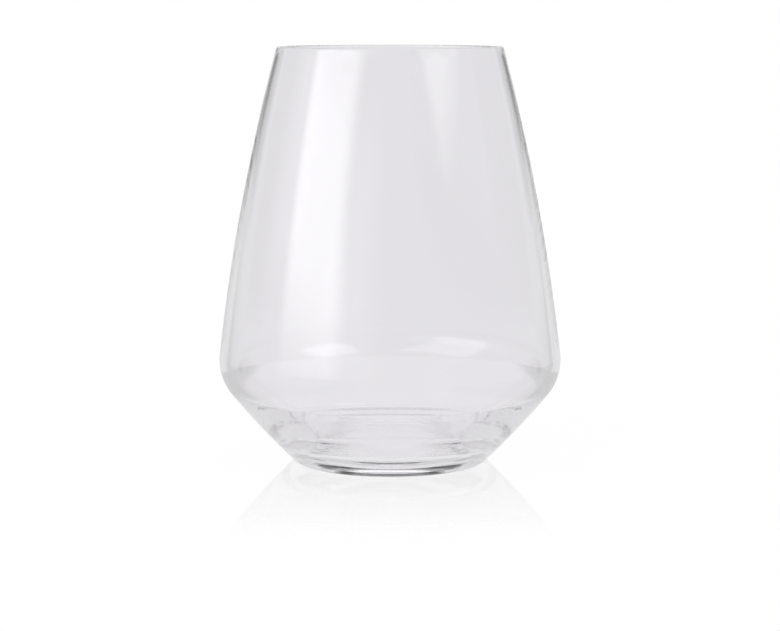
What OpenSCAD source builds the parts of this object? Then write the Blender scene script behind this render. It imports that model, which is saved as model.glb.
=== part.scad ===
// Stemless wine glass: one blown bowl of clear glass that stands on its own heavy foot.
// The whole glass is one section turned about Z, and the section is a chain of arcs,
// each running smoothly into the next. Millimetres, +Z up, and the origin is the
// centre of the standing ring, on the table.

/* [Bowl] */
// Height, from the table to the top of the rim
glass_h = 116; // [106:1:128]
// Outer diameter of the rim
rim_d = 63; // [56:0.5:70]
// Outer diameter of the belly, the widest place
belly_d = 96; // [88:0.5:104]
// Height of the widest place above the table
belly_h = 28.8; // [25:0.2:36]
// Radius of the turn at the belly
belly_round = 14.5; // [10:0.5:18]
// Radius of the long side, from the belly up to the rim
side_round = 605; // [400:5:1000]
// Radius of the full underside, from the belly down to the heel
cup_round = 220; // [150:5:400]

/* [Foot] */
// Outer diameter of the flat ring that the glass stands on
foot_d = 52; // [47:0.5:55]
// Radius of the heel, where the foot turns up into the underside
heel_round = 2; // [1:0.25:4]
// Diameter of the shallow hollow under the foot
hollow_d = 33; // [24:0.5:42]
// Depth of that hollow at its middle
hollow_h = 1.1; // [0.4:0.1:1.8]

/* [Wall] */
// Thickness of the glass at the rim
rim_wall = 1.1; // [0.8:0.1:1.6]
// Thickness at the belly
belly_wall = 2.9; // [1.6:0.1:3.6]
// Thickness beside the inner corner, where the underside is heaviest
corner_wall = 4.8; // [3:0.1:6]
// Thickness of the floor at its middle
floor_wall = 4.7; // [3:0.1:6.5]
// Radius of the corner inside, between the wall and the floor
corner_round = 7; // [4:0.5:11]
// Radius of the slightly dished floor
floor_round = 300; // [200:10:500]

/* [Hidden] */
// The most that a chord may leave its arc
arc_fine = 0.01;
$fn = 128;

// Direction from one point to another, in degrees
function aim(from, to) = atan2(to.y - from.y, to.x - from.x);

// The point that lies at distance d0 from c0 and d1 from c1, left of the way from c0 to c1
function meet(c0, d0, c1, d1) =
    let (way = c1 - c0)
    let (gap = norm(way))
    let (along = (d0 * d0 - d1 * d1 + gap * gap) / (2 * gap))
    let (aside = sqrt(d0 * d0 - along * along))
    c0 + (along * way + aside * [-way.y, way.x]) / gap;

// The points of an arc about c after its first, because the arc before ends on that one
function arc(c, r, a0, a1) =
    let (steps = ceil(abs(a1 - a0) / (2 * acos(1 - arc_fine / r))))
    [for (i = [1:steps]) let (a = a0 + (a1 - a0) * i / steps) c + r * [cos(a), sin(a)]];

// Radii that follow from the sizes above: a chord and its rise give the hollow's
rim_round = rim_wall / 2;
belly_in_round = belly_round - belly_wall;
side_in_round = side_round - belly_wall;
cup_in_round = cup_round - corner_wall;
hollow_round = (hollow_d * hollow_d / 4 + hollow_h * hollow_h) / (2 * hollow_h);

// Centres of the outer arcs, from the foot up
hollow_c = [0, hollow_h - hollow_round];
heel_c = [foot_d / 2, heel_round];
belly_c = [belly_d / 2 - belly_round, belly_h];
rim_c = [rim_d / 2 - rim_round, glass_h - rim_round];
cup_c = meet(heel_c, cup_round - heel_round, belly_c, cup_round - belly_round);
side_c = meet(belly_c, side_round - belly_round, rim_c, side_round - rim_round);

// Centres of the inner arcs: the wall's two thicknesses place the corner and the side
floor_c = [0, hollow_h + floor_wall + floor_round];
corner_c = meet(floor_c, floor_round - corner_round, cup_c, cup_in_round - corner_round);
cup_in_c = meet(corner_c, cup_in_round - corner_round, belly_c, cup_in_round - belly_in_round);
side_in_c = meet(belly_c, side_in_round - belly_in_round, rim_c, side_in_round + rim_round);

// From the middle of the foot out to the heel, up to the rim, and down inside to the floor
section = concat(
    [[0, hollow_h]],
    arc(hollow_c, hollow_round, 90, aim(hollow_c, [hollow_d / 2, 0])),
    [[foot_d / 2, 0]],
    arc(heel_c, heel_round, -90, aim(cup_c, heel_c)),
    arc(cup_c, cup_round, aim(cup_c, heel_c), aim(cup_c, belly_c)),
    arc(belly_c, belly_round, aim(cup_c, belly_c), aim(side_c, belly_c)),
    arc(side_c, side_round, aim(side_c, belly_c), aim(side_c, rim_c)),
    arc(rim_c, rim_round, aim(side_c, rim_c), aim(side_in_c, rim_c) + 180),
    arc(side_in_c, side_in_round, aim(side_in_c, rim_c), aim(side_in_c, belly_c)),
    arc(belly_c, belly_in_round, aim(side_in_c, belly_c), aim(cup_in_c, belly_c)),
    arc(cup_in_c, cup_in_round, aim(cup_in_c, belly_c), aim(cup_in_c, corner_c)),
    arc(corner_c, corner_round, aim(cup_in_c, corner_c), aim(floor_c, corner_c)),
    arc(floor_c, floor_round, aim(floor_c, corner_c), -90)
);

// The glass: bowl, wall and foot are one melt, blown in one mould
module glass_bowl() {
    color("#dfe3e4", 0.35)
        rotate_extrude()
            polygon(section);
}

glass_bowl();
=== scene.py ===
"""A stemless wine glass on a white table, as a product photographer sets it up.

The glass is one blown piece: a section of tangent arcs, turned about Z by a Geometry
Nodes tree. It stands for the CAD node glass_bowl, and has the same sizes. Everything is
in metres, the glass stands at the origin, and the camera looks along +Y.
"""
import math
from collections import namedtuple

import bpy
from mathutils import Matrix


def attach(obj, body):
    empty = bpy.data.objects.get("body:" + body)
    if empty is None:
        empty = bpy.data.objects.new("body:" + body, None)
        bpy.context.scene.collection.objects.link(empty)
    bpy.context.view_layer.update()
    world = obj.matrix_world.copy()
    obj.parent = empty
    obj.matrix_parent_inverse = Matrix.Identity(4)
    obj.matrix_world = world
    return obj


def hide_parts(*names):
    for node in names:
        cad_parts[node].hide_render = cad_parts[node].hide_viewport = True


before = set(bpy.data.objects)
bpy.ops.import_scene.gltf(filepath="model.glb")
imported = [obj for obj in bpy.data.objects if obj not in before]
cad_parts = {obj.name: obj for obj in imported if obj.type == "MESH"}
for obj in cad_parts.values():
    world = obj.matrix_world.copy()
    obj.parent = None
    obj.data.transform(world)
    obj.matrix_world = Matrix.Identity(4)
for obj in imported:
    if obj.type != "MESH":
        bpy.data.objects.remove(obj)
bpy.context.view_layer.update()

MM = 0.001

# Sizes of the glass, as in the CAD source
GLASS_H = 116 * MM
RIM_D = 63 * MM
BELLY_D = 96 * MM
BELLY_H = 28.8 * MM
BELLY_ROUND = 14.5 * MM
SIDE_ROUND = 605 * MM
CUP_ROUND = 220 * MM
FOOT_D = 52 * MM
HEEL_ROUND = 2 * MM
HOLLOW_D = 33 * MM
HOLLOW_H = 1.1 * MM
RIM_WALL = 1.1 * MM
BELLY_WALL = 2.9 * MM
CORNER_WALL = 4.8 * MM
FLOOR_WALL = 4.7 * MM
CORNER_ROUND = 7 * MM
FLOOR_ROUND = 300 * MM

# The glass: its refractive index, its tint where light passes its surface, and the colour that
# light takes on and how much of it is lost, per metre of the way through
BENDING = 1.52
SURFACE_TINT = "#fefdff"
DEPTH_TINT = "#a09aa6"
DIMMING = 1.5
# The mould's waviness, the turning rings above the foot, and the wear under it
WAVE_LENGTH = 26 * MM
WAVE_DETAIL = 1
WAVE_HEIGHT = 0.06 * MM
RING_LENGTH = 0.8 * MM
RING_HEIGHT = 0.002 * MM
RINGS_START = 3.5 * MM
RINGS_FULL = 5.5 * MM
RINGS_FADE = 8 * MM
RINGS_END = 11.5 * MM
SCUFF_LENGTH = 1.2 * MM
SCUFF_DETAIL = 4
WEAR_HEIGHT = 0.1 * MM
WEAR = 0.08

# The cove around the glass, and what comes back after many bounces in the foot, where 1 is white
COVE = 0.78
EVEN = 0.77
# What a path sees of it goes by Ray Depth, which at the world is one more than the path's bounces.
# Each depth here lies between two whole ones. Beyond EVEN_DEPTH the light has mixed.
EVEN_DEPTH = 13.5
# Patches of the cove, the same on both sides. Each has a level, its lowest and highest degrees up,
# its nearest and farthest degrees round from the camera, and how soft its edges are, in degrees.
Patch = namedtuple("Patch", "level low high near far soft")
SIDE_FLOOR = Patch(0.62, -90, -5, 100, 148, 2)
SIDE_WALL = Patch(0.5, -1, 14, 135, 150, 1.5)
EDGE_SLIT = Patch(0.2, -1, 7, 150, 163, 1.5)
BACK_DIM = Patch(0.6, 22, 45, 155, 181, 4)
WALL_PATCHES = (SIDE_FLOOR, SIDE_WALL, EDGE_SLIT, BACK_DIM)
# More of them, which show only beyond this depth, and so only in the heel of the foot
HEEL_DEPTH = 8.5
BACK_TOP = Patch(0.1, 19, 58, 162, 181, 1)
DARK_SHOULDER = Patch(0.2, 37, 58, 130, 163, 2)
TOP_LIGHT = Patch(1.6, 61, 80, 120, 181, 2)
FRONT_DARK = Patch(0.3, 46, 61, 45, 90, 3)
FRONT_DARKER = Patch(0.05, 60, 75, 40, 95, 3)
DARK_POST = Patch(0.03, 17, 43, 146, 168, 2)
HEEL_PATCHES = (BACK_TOP, DARK_SHOULDER, TOP_LIGHT, FRONT_DARK, FRONT_DARKER, DARK_POST)

# The tall softbox on the left, in degrees up and degrees round from the camera. Its inner side
# leans towards the camera above LEFT_BEND, by LEFT_LEAN degrees for each degree up. It fades in
# from LEFT_DARK to LEFT_FULL, and is a little dimmer higher up.
LEFT_GLOW = 2.0
LEFT_OUTER = -80
LEFT_OUTER_SOFT = 5
LEFT_INNER = -36
LEFT_INNER_SOFT = 8
LEFT_BEND = 18
LEFT_LEAN = 0.85
LEFT_DARK = -3
LEFT_FULL = 9
LEFT_DIM_FROM = 20
LEFT_DIM_TO = 24
LEFT_DIM = 0.85
# The fringe of light around it
FRINGE_GLOW = 0.5
FRINGE_OUTER = -100
FRINGE_OUTER_SOFT = 12
FRINGE_INNER = -14
FRINGE_INNER_SOFT = 14
FRINGE_LOW = 3
FRINGE_HIGH = 21
FRINGE_SOFT = 3
# The left softbox and its fringe show only up to this depth
LEFT_DEPTH = 6.5
# The softbox on the right, which hangs with one corner down: the corner's place, and the slopes of
# its underside and of its inner side, which ends at RIGHT_INNER. It is dimmer low down, and shows
# only up to RIGHT_DEPTH.
RIGHT_GLOW = 1.3
CORNER_ASIDE = 46
CORNER_UP = 16.5
UNDER_SLOPE = 0.25
UNDER_SOFT = 2.5
BESIDE_SLOPE = 1.27
BESIDE_SOFT = 4
RIGHT_INNER = 31
RIGHT_OUTER = 76
RIGHT_OUTER_SOFT = 5
RIGHT_DIM = 0.5
RIGHT_DIM_FROM = 15
RIGHT_DIM_TO = 28
RIGHT_DEPTH = 8.5
# Both softboxes end at this many degrees up
BOX_TOP = 50
BOX_SOFT = 4
# The white part of the cove at the back, for light that the table top mirrors at once
BACK_LOW = 8
BACK_HIGH = 20
BACK_EDGE = 1
BACK_NEAR = 160
BACK_SOFT = 5
BACK_DEPTH = 2.5

# Light bounces many times inside the thick foot before it comes out again
BOUNCES = 200

# The table top: a round sheet, a hair under the foot
TABLE_ROUND = 140 * MM
TABLE_GAP = 0.02 * MM
# How bright it shows through the glass near it, and, out to the sides, a painted shade: it glows darker
# there, as if less light fell on it
TABLE_LEVEL = 0.815
SIDE_SHADE_LEVEL = 0.62
SIDE_SHADE_NEAR = 50 * MM
SIDE_SHADE_FAR = 62 * MM
# How bright the camera sees it: a part that takes shade, and a part that doesn't
MATT = 0.05
LIFT = 0.955
# How strongly it mirrors, which fades outwards, and how rough its polish is: from HAZE_LOW to
# HAZE_HIGH, while the noise goes from HAZE_FROM to HAZE_TO
MIRROR = 0.34
MIRROR_NEAR = 30 * MM
MIRROR_FAR = 118 * MM
HAZE_LENGTH = 9 * MM
HAZE_DETAIL = 3
HAZE_FROM = 0.3
HAZE_TO = 0.7
HAZE_LOW = 0.015
HAZE_HIGH = 0.03
# Where its shade fades out to plain white
SHADE_NEAR = 60 * MM
SHADE_FAR = 130 * MM

# How finely the section is drawn and turned. The flat of the standing ring has a point CREASE away
# from each of its edges, so that the shading doesn't run over from the rounds beside it. Points
# closer than WELD are joined, which closes the middle of the foot and of the floor.
ARC_FINE = 0.0012 * MM
SIDES = 240
CREASE = 0.1 * MM
WELD = 0.002 * MM

# The camera: a 100 mm lens on a 36 mm wide frame, close in front and a little above the rim
LENS_MM = 100
FRAME_MM = 36
CAMERA_AWAY = 604 * MM
CAMERA_H = 125.7 * MM
CAMERA_DOWN = math.radians(8.0)


def linear(code):
    """An sRGB hex colour as linear RGBA."""
    parts = [int(code[i:i + 2], 16) / 255 for i in (1, 3, 5)]
    return [p / 12.92 if p <= 0.04045 else ((p + 0.055) / 1.055) ** 2.4 for p in parts] + [1.0]


def add(tree, kind, inputs={}, **settings):
    """A node of this kind, with its settings, and each input set or linked."""
    node = tree.nodes.new(kind)
    for name, value in settings.items():
        setattr(node, name, value)
    for key, value in inputs.items():
        if isinstance(value, bpy.types.NodeSocket):
            tree.links.new(value, node.inputs[key])
        else:
            node.inputs[key].default_value = value
    return node


# The section of the glass

def aim(start, end):
    """Direction from one point to another."""
    return math.atan2(end[1] - start[1], end[0] - start[0])


def meet(c0, d0, c1, d1):
    """The point at distance d0 from c0 and d1 from c1, left of the way from c0 to c1."""
    way = (c1[0] - c0[0], c1[1] - c0[1])
    gap = math.hypot(*way)
    along = (d0 * d0 - d1 * d1 + gap * gap) / (2 * gap)
    aside = math.sqrt(d0 * d0 - along * along)
    return (c0[0] + (along * way[0] - aside * way[1]) / gap,
            c0[1] + (along * way[1] + aside * way[0]) / gap)


def arc(c, r, a0, a1):
    """Points of an arc about c after its first, because the arc before ends on that one."""
    steps = math.ceil(abs(a1 - a0) / (2 * math.acos(1 - ARC_FINE / r)))
    turns = [a0 + (a1 - a0) * i / steps for i in range(1, steps + 1)]
    return [(c[0] + r * math.cos(a), c[1] + r * math.sin(a)) for a in turns]


def glass_section():
    """From the middle of the foot out to the heel, up to the rim, and down inside."""
    rim_round = RIM_WALL / 2
    belly_in = BELLY_ROUND - BELLY_WALL
    side_in = SIDE_ROUND - BELLY_WALL
    cup_in = CUP_ROUND - CORNER_WALL
    hollow_round = (HOLLOW_D ** 2 / 4 + HOLLOW_H ** 2) / (2 * HOLLOW_H)

    hollow_c = (0, HOLLOW_H - hollow_round)
    heel_c = (FOOT_D / 2, HEEL_ROUND)
    belly_c = (BELLY_D / 2 - BELLY_ROUND, BELLY_H)
    rim_c = (RIM_D / 2 - rim_round, GLASS_H - rim_round)
    cup_c = meet(heel_c, CUP_ROUND - HEEL_ROUND, belly_c, CUP_ROUND - BELLY_ROUND)
    side_c = meet(belly_c, SIDE_ROUND - BELLY_ROUND, rim_c, SIDE_ROUND - rim_round)

    floor_c = (0, HOLLOW_H + FLOOR_WALL + FLOOR_ROUND)
    corner_c = meet(floor_c, FLOOR_ROUND - CORNER_ROUND, cup_c, cup_in - CORNER_ROUND)
    cup_in_c = meet(corner_c, cup_in - CORNER_ROUND, belly_c, cup_in - belly_in)
    side_in_c = meet(belly_c, side_in - belly_in, rim_c, side_in + rim_round)

    half = math.pi / 2
    return (
        [(0, HOLLOW_H)]
        + arc(hollow_c, hollow_round, half, aim(hollow_c, (HOLLOW_D / 2, 0)))
        + [(HOLLOW_D / 2 + CREASE, 0), (FOOT_D / 2 - CREASE, 0), (FOOT_D / 2, 0)]
        + arc(heel_c, HEEL_ROUND, -half, aim(cup_c, heel_c))
        + arc(cup_c, CUP_ROUND, aim(cup_c, heel_c), aim(cup_c, belly_c))
        + arc(belly_c, BELLY_ROUND, aim(cup_c, belly_c), aim(side_c, belly_c))
        + arc(side_c, SIDE_ROUND, aim(side_c, belly_c), aim(side_c, rim_c))
        + arc(rim_c, rim_round, aim(side_c, rim_c), aim(side_in_c, rim_c) + math.pi)
        + arc(side_in_c, side_in, aim(side_in_c, rim_c), aim(side_in_c, belly_c))
        + arc(belly_c, belly_in, aim(side_in_c, belly_c), aim(cup_in_c, belly_c))
        + arc(cup_in_c, cup_in, aim(cup_in_c, belly_c), aim(cup_in_c, corner_c))
        + arc(corner_c, CORNER_ROUND, aim(cup_in_c, corner_c), aim(floor_c, corner_c))
        + arc(floor_c, FLOOR_ROUND, aim(floor_c, corner_c), -half)
    )


# Turning the section into the glass

def turning_tree():
    """Geometry Nodes that turn a section, drawn in X and Y, about Z."""
    tree = bpy.data.node_groups.new("Turned glass", "GeometryNodeTree")
    face = tree.interface
    face.new_socket("Section", in_out="INPUT", socket_type="NodeSocketGeometry")
    face.new_socket("Sides", in_out="INPUT", socket_type="NodeSocketInt")
    face.new_socket("Turning radius", in_out="INPUT", socket_type="NodeSocketFloat")
    face.new_socket("Weld", in_out="INPUT", socket_type="NodeSocketFloat")
    face.new_socket("Glass", in_out="INPUT", socket_type="NodeSocketMaterial")
    face.new_socket("Glass mesh", in_out="OUTPUT", socket_type="NodeSocketGeometry")
    given = add(tree, "NodeGroupInput").outputs

    # The circle that carries the section is as wide as the belly, so the section moves in by that
    circle = add(tree, "GeometryNodeCurvePrimitiveCircle",
                 {"Resolution": given["Sides"], "Radius": given["Turning radius"]})
    inward = add(tree, "ShaderNodeMath", {0: given["Turning radius"], 1: -1.0}, operation="MULTIPLY")
    offset = add(tree, "ShaderNodeCombineXYZ", {"X": inward.outputs[0]})
    moved = add(tree, "GeometryNodeTransform",
                {"Geometry": given["Section"], "Translation": offset.outputs[0]})
    profile = add(tree, "GeometryNodeMeshToCurve", {"Mesh": moved.outputs[0]})
    swept = add(tree, "GeometryNodeCurveToMesh",
                {"Curve": circle.outputs[0], "Profile Curve": profile.outputs[0]})
    # The circle carries the section upside down, so the glass is turned over
    upright = add(tree, "GeometryNodeTransform",
                  {"Geometry": swept.outputs[0], "Rotation": (math.pi, 0, 0)})
    welded = add(tree, "GeometryNodeMergeByDistance",
                 {"Geometry": upright.outputs[0], "Distance": given["Weld"]})
    smooth = add(tree, "GeometryNodeSetShadeSmooth", {"Geometry": welded.outputs[0]})
    real = add(tree, "GeometryNodeRealizeInstances", {"Geometry": smooth.outputs[0]})
    glazed = add(tree, "GeometryNodeSetMaterial",
                 {"Geometry": real.outputs[0], "Material": given["Glass"]})
    add(tree, "NodeGroupOutput", {0: glazed.outputs[0]})
    return tree


def turned(name, section, tree, values):
    """The section as a line of edges, put through the tree and made a plain mesh."""
    line = bpy.data.meshes.new(name)
    line.from_pydata([(x, y, 0) for x, y in section], [(i, i + 1) for i in range(len(section) - 1)], [])
    draft = bpy.data.objects.new(name, line)
    bpy.context.scene.collection.objects.link(draft)
    turn = draft.modifiers.new("Turn", "NODES")
    turn.node_group = tree
    for item in tree.interface.items_tree:
        if item.in_out == "INPUT" and item.name in values:
            turn[item.identifier] = values[item.name]
    evaluated = draft.evaluated_get(bpy.context.evaluated_depsgraph_get())
    mesh = bpy.data.meshes.new_from_object(evaluated)
    draft.modifiers.remove(turn)
    draft.data = mesh
    bpy.data.meshes.remove(line)
    return draft


# Materials

def ramp(tree, value, start, end, low=0.0, high=1.0):
    """Runs smoothly from low to high while the value goes from start to end."""
    return add(tree, "ShaderNodeMapRange", {
        "Value": value, "From Min": start, "From Max": end, "To Min": low, "To Max": high,
    }, interpolation_type="SMOOTHSTEP").outputs[0]


def rise(tree, value, at, soft):
    """0 below a place and 1 above it, with a soft edge."""
    return ramp(tree, value, at - soft, at + soft)


def fall(tree, value, at, soft):
    """1 below a place and 0 above it, with a soft edge."""
    return ramp(tree, value, at - soft, at + soft, 1.0, 0.0)


def calc(tree, operation, first, *others):
    """One kind of sum over two or more values, from left to right.

    A sum that takes only one value, such as a sine, gets a 0 beside it.
    """
    result = first
    for other in others:
        result = add(tree, "ShaderNodeMath", {0: result, 1: other}, operation=operation).outputs[0]
    return result


def blend(tree, share, a, b):
    """The level a, or b where the share is 1."""
    return add(tree, "ShaderNodeMix", {"Factor": share, "A": a, "B": b}).outputs[0]


def clear_glass():
    """Clear soda-lime glass, blown in a mould and fire-polished: colourless, sharp reflections.

    The mould leaves a slow waviness, in which the edges of the softboxes waver, and turning
    the glass in the mould leaves fine rings just above the foot. The standing ring is dull
    from wear.
    """
    material = bpy.data.materials.new("clear soda-lime glass")
    material.use_nodes = True
    tree = material.node_tree
    tree.nodes.clear()
    place = add(tree, "ShaderNodeTexCoord").outputs["Object"]
    height = add(tree, "ShaderNodeSeparateXYZ", {0: place}).outputs["Z"]
    waves = add(tree, "ShaderNodeTexNoise",
                {"Vector": place, "Scale": 1 / WAVE_LENGTH, "Detail": WAVE_DETAIL}).outputs[0]
    rings = calc(tree, "SINE", calc(tree, "MULTIPLY", height, 2 * math.pi / RING_LENGTH), 0.0)
    deep = calc(tree, "MULTIPLY", ramp(tree, height, RINGS_START, RINGS_FULL),
                ramp(tree, height, RINGS_FADE, RINGS_END, RING_HEIGHT, 0.0))
    relief = calc(tree, "ADD", calc(tree, "MULTIPLY", waves, WAVE_HEIGHT),
                  calc(tree, "MULTIPLY", rings, deep))
    bump = add(tree, "ShaderNodeBump", {"Height": relief, "Distance": 1.0}).outputs[0]
    scuffs = add(tree, "ShaderNodeTexNoise",
                 {"Vector": place, "Scale": 1 / SCUFF_LENGTH, "Detail": SCUFF_DETAIL}).outputs[0]
    worn = calc(tree, "MULTIPLY", scuffs, ramp(tree, height, 0.0, WEAR_HEIGHT, WEAR, 0.0))
    glass = add(tree, "ShaderNodeBsdfPrincipled", {
        "Base Color": linear(SURFACE_TINT),
        "Roughness": worn,
        "IOR": BENDING,
        "Transmission Weight": 1.0,
        "Normal": bump,
    })
    inside = add(tree, "ShaderNodeVolumeAbsorption",
                 {"Color": linear(DEPTH_TINT), "Density": DIMMING})
    add(tree, "ShaderNodeOutputMaterial", {"Surface": glass.outputs[0], "Volume": inside.outputs[0]})
    return material


def white_table():
    """Glossy white acrylic sheet: it mirrors the foot, and is plain white further out.

    Its polish is a little uneven, which blurs the mirrored foot in some places more than in others.
    """
    material = bpy.data.materials.new("white acrylic table")
    material.use_nodes = True
    tree = material.node_tree
    tree.nodes.clear()
    place = add(tree, "ShaderNodeTexCoord").outputs["Object"]
    away = add(tree, "ShaderNodeVectorMath", {0: place}, operation="LENGTH").outputs["Value"]
    across = calc(tree, "ABSOLUTE", add(tree, "ShaderNodeSeparateXYZ", {0: place}).outputs["X"], 0.0)
    seen = add(tree, "ShaderNodeLightPath").outputs["Is Camera Ray"]

    # Through the glass it shows at about the level of the cove; out to the sides it glows darker, a
    # painted shade where less light would fall
    level = ramp(tree, across, SIDE_SHADE_NEAR, SIDE_SHADE_FAR, TABLE_LEVEL, SIDE_SHADE_LEVEL)
    plain = add(tree, "ShaderNodeEmission", {"Strength": blend(tree, seen, level, 1.0)})

    # The camera sees it white, with a little shade, and the glass mirrored in it
    matt = add(tree, "ShaderNodeBsdfDiffuse", {"Color": (MATT, MATT, MATT, 1.0)})
    lift = add(tree, "ShaderNodeEmission", {"Strength": LIFT})
    lit = add(tree, "ShaderNodeAddShader", {0: matt.outputs[0], 1: lift.outputs[0]})
    haze = add(tree, "ShaderNodeTexNoise",
               {"Vector": place, "Scale": 1 / HAZE_LENGTH, "Detail": HAZE_DETAIL}).outputs[0]
    mirror = add(tree, "ShaderNodeBsdfAnisotropic", {
        "Color": linear("#ffffff"),
        "Roughness": ramp(tree, haze, HAZE_FROM, HAZE_TO, HAZE_LOW, HAZE_HIGH),
    })
    gloss = ramp(tree, away, MIRROR_NEAR, MIRROR_FAR, MIRROR, 0.0)
    polished = add(tree, "ShaderNodeMixShader", {0: gloss, 1: lit.outputs[0], 2: mirror.outputs[0]})
    outward = calc(tree, "MAXIMUM", ramp(tree, away, SHADE_NEAR, SHADE_FAR),
                   calc(tree, "SUBTRACT", 1.0, seen))
    whole = add(tree, "ShaderNodeMixShader", {0: outward, 1: polished.outputs[0], 2: plain.outputs[0]})
    add(tree, "ShaderNodeOutputMaterial", {"Surface": whole.outputs[0]})
    return material


# The set

def cover(tree, up, turn, patch):
    """1 on a patch of the surroundings and 0 beside it, with soft edges."""
    return calc(tree, "MULTIPLY",
                rise(tree, up, patch.low, patch.soft), fall(tree, up, patch.high, patch.soft),
                rise(tree, turn, patch.near, patch.soft), fall(tree, turn, patch.far, patch.soft))


def left_softbox(tree, up, azimuth):
    """The glow of the tall softbox on the left, and of the fringe around it."""
    past_bend = calc(tree, "MAXIMUM", calc(tree, "SUBTRACT", up, LEFT_BEND), 0.0)
    lean = calc(tree, "MULTIPLY", past_bend, LEFT_LEAN)
    inward = calc(tree, "SUBTRACT", azimuth, lean)
    box = calc(tree, "MULTIPLY",
               rise(tree, azimuth, LEFT_OUTER, LEFT_OUTER_SOFT),
               fall(tree, inward, LEFT_INNER, LEFT_INNER_SOFT),
               ramp(tree, up, LEFT_DARK, LEFT_FULL),
               ramp(tree, up, LEFT_DIM_FROM, LEFT_DIM_TO, 1.0, LEFT_DIM),
               fall(tree, up, BOX_TOP, BOX_SOFT), LEFT_GLOW)
    fringe = calc(tree, "MULTIPLY",
                  rise(tree, azimuth, FRINGE_OUTER, FRINGE_OUTER_SOFT),
                  fall(tree, inward, FRINGE_INNER, FRINGE_INNER_SOFT),
                  rise(tree, up, FRINGE_LOW, FRINGE_SOFT),
                  fall(tree, up, FRINGE_HIGH, FRINGE_SOFT), FRINGE_GLOW)
    return calc(tree, "ADD", box, fringe)


def right_softbox(tree, up, azimuth):
    """The glow of the softbox on the right, which hangs with one corner down."""
    above = calc(tree, "SUBTRACT", up, CORNER_UP)
    beside = calc(tree, "SUBTRACT", azimuth, CORNER_ASIDE)
    under = calc(tree, "SUBTRACT", above, calc(tree, "MULTIPLY", beside, UNDER_SLOPE))
    inner = calc(tree, "ADD", beside, calc(tree, "MULTIPLY", above, BESIDE_SLOPE))
    return calc(tree, "MULTIPLY",
                rise(tree, under, 0, UNDER_SOFT), rise(tree, inner, 0, BESIDE_SOFT),
                rise(tree, azimuth, RIGHT_INNER, BESIDE_SOFT),
                fall(tree, azimuth, RIGHT_OUTER, RIGHT_OUTER_SOFT),
                fall(tree, up, BOX_TOP, BOX_SOFT),
                ramp(tree, up, RIGHT_DIM_FROM, RIGHT_DIM_TO, RIGHT_DIM, 1.0), RIGHT_GLOW)


def surroundings(tree):
    """How bright the surroundings are in each direction.

    The softboxes show only after few bounces. After many bounces in the foot the light has
    mixed, and it is even.
    """
    place = add(tree, "ShaderNodeTexCoord").outputs["Generated"]
    way = add(tree, "ShaderNodeSeparateXYZ", {0: place}).outputs
    up = calc(tree, "DEGREES", calc(tree, "ARCSINE", way["Z"], 0.0), 0.0)
    forward = calc(tree, "MULTIPLY", way["Y"], -1.0)
    azimuth = calc(tree, "DEGREES", calc(tree, "ARCTAN2", way["X"], forward), 0.0)
    turn = calc(tree, "ABSOLUTE", azimuth, 0.0)
    ray = add(tree, "ShaderNodeLightPath").outputs
    depth = ray["Ray Depth"]

    level = COVE
    for patch in WALL_PATCHES:
        level = blend(tree, cover(tree, up, turn, patch), level, patch.level)
    in_heel = level
    for patch in HEEL_PATCHES:
        in_heel = blend(tree, cover(tree, up, turn, patch), in_heel, patch.level)
    level = blend(tree, calc(tree, "GREATER_THAN", depth, HEEL_DEPTH), level, in_heel)
    left = calc(tree, "MULTIPLY",
                left_softbox(tree, up, azimuth), calc(tree, "LESS_THAN", depth, LEFT_DEPTH))
    right = calc(tree, "MULTIPLY",
                 right_softbox(tree, up, azimuth), calc(tree, "LESS_THAN", depth, RIGHT_DEPTH))
    level = calc(tree, "ADD", level, left, right)
    level = blend(tree, calc(tree, "LESS_THAN", depth, EVEN_DEPTH), EVEN, level)

    # It is white where the camera sees it, and where the table top mirrors it at the back
    mirrored = calc(tree, "MULTIPLY", ray["Is Glossy Ray"],
                    calc(tree, "LESS_THAN", depth, BACK_DEPTH),
                    rise(tree, up, BACK_LOW, BACK_EDGE), fall(tree, up, BACK_HIGH, BACK_EDGE),
                    rise(tree, turn, BACK_NEAR, BACK_SOFT))
    return blend(tree, calc(tree, "MAXIMUM", ray["Is Camera Ray"], mirrored), level, 1.0)


def studio_world():
    """A pale cove that the camera sees white, with two softboxes and darker patches in it."""
    world = bpy.data.worlds.new("white cove")
    bpy.context.scene.world = world
    world.use_nodes = True
    tree = world.node_tree
    tree.nodes.clear()
    back = add(tree, "ShaderNodeBackground", {"Color": linear("#ffffff"), "Strength": surroundings(tree)})
    add(tree, "ShaderNodeOutputWorld", {"Surface": back.outputs[0]})


def camera():
    """In front of the glass, looking a little down on it."""
    lens = bpy.data.cameras.new("camera")
    lens.lens = LENS_MM
    lens.sensor_width = FRAME_MM
    lens.sensor_fit = "HORIZONTAL"
    stand = bpy.data.objects.new("camera", lens)
    stand.location = (0, -CAMERA_AWAY, CAMERA_H)
    stand.rotation_euler = (math.pi / 2 - CAMERA_DOWN, 0, 0)
    bpy.context.scene.collection.objects.link(stand)
    bpy.context.scene.camera = stand


def table():
    """The table top, a round sheet a hair under the foot."""
    turns = [2 * math.pi * i / SIDES for i in range(SIDES)]
    corners = [(TABLE_ROUND * math.cos(t), TABLE_ROUND * math.sin(t), -TABLE_GAP) for t in turns]
    mesh = bpy.data.meshes.new("table")
    mesh.from_pydata(corners, [], [tuple(range(SIDES))])
    top = bpy.data.objects.new("table", mesh)
    bpy.context.scene.collection.objects.link(top)
    mesh.materials.append(white_table())


camera()
studio_world()
table()

glass = turned("wine_glass", glass_section(), turning_tree(), {
    "Sides": SIDES,
    "Turning radius": BELLY_D / 2,
    "Weld": WELD,
    "Glass": clear_glass(),
})
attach(glass, "root")
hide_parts("glass_bowl")

bpy.context.scene.view_settings.view_transform = "Standard"

light_paths = bpy.context.scene.cycles
light_paths.max_bounces = BOUNCES
light_paths.glossy_bounces = BOUNCES
light_paths.transmission_bounces = BOUNCES
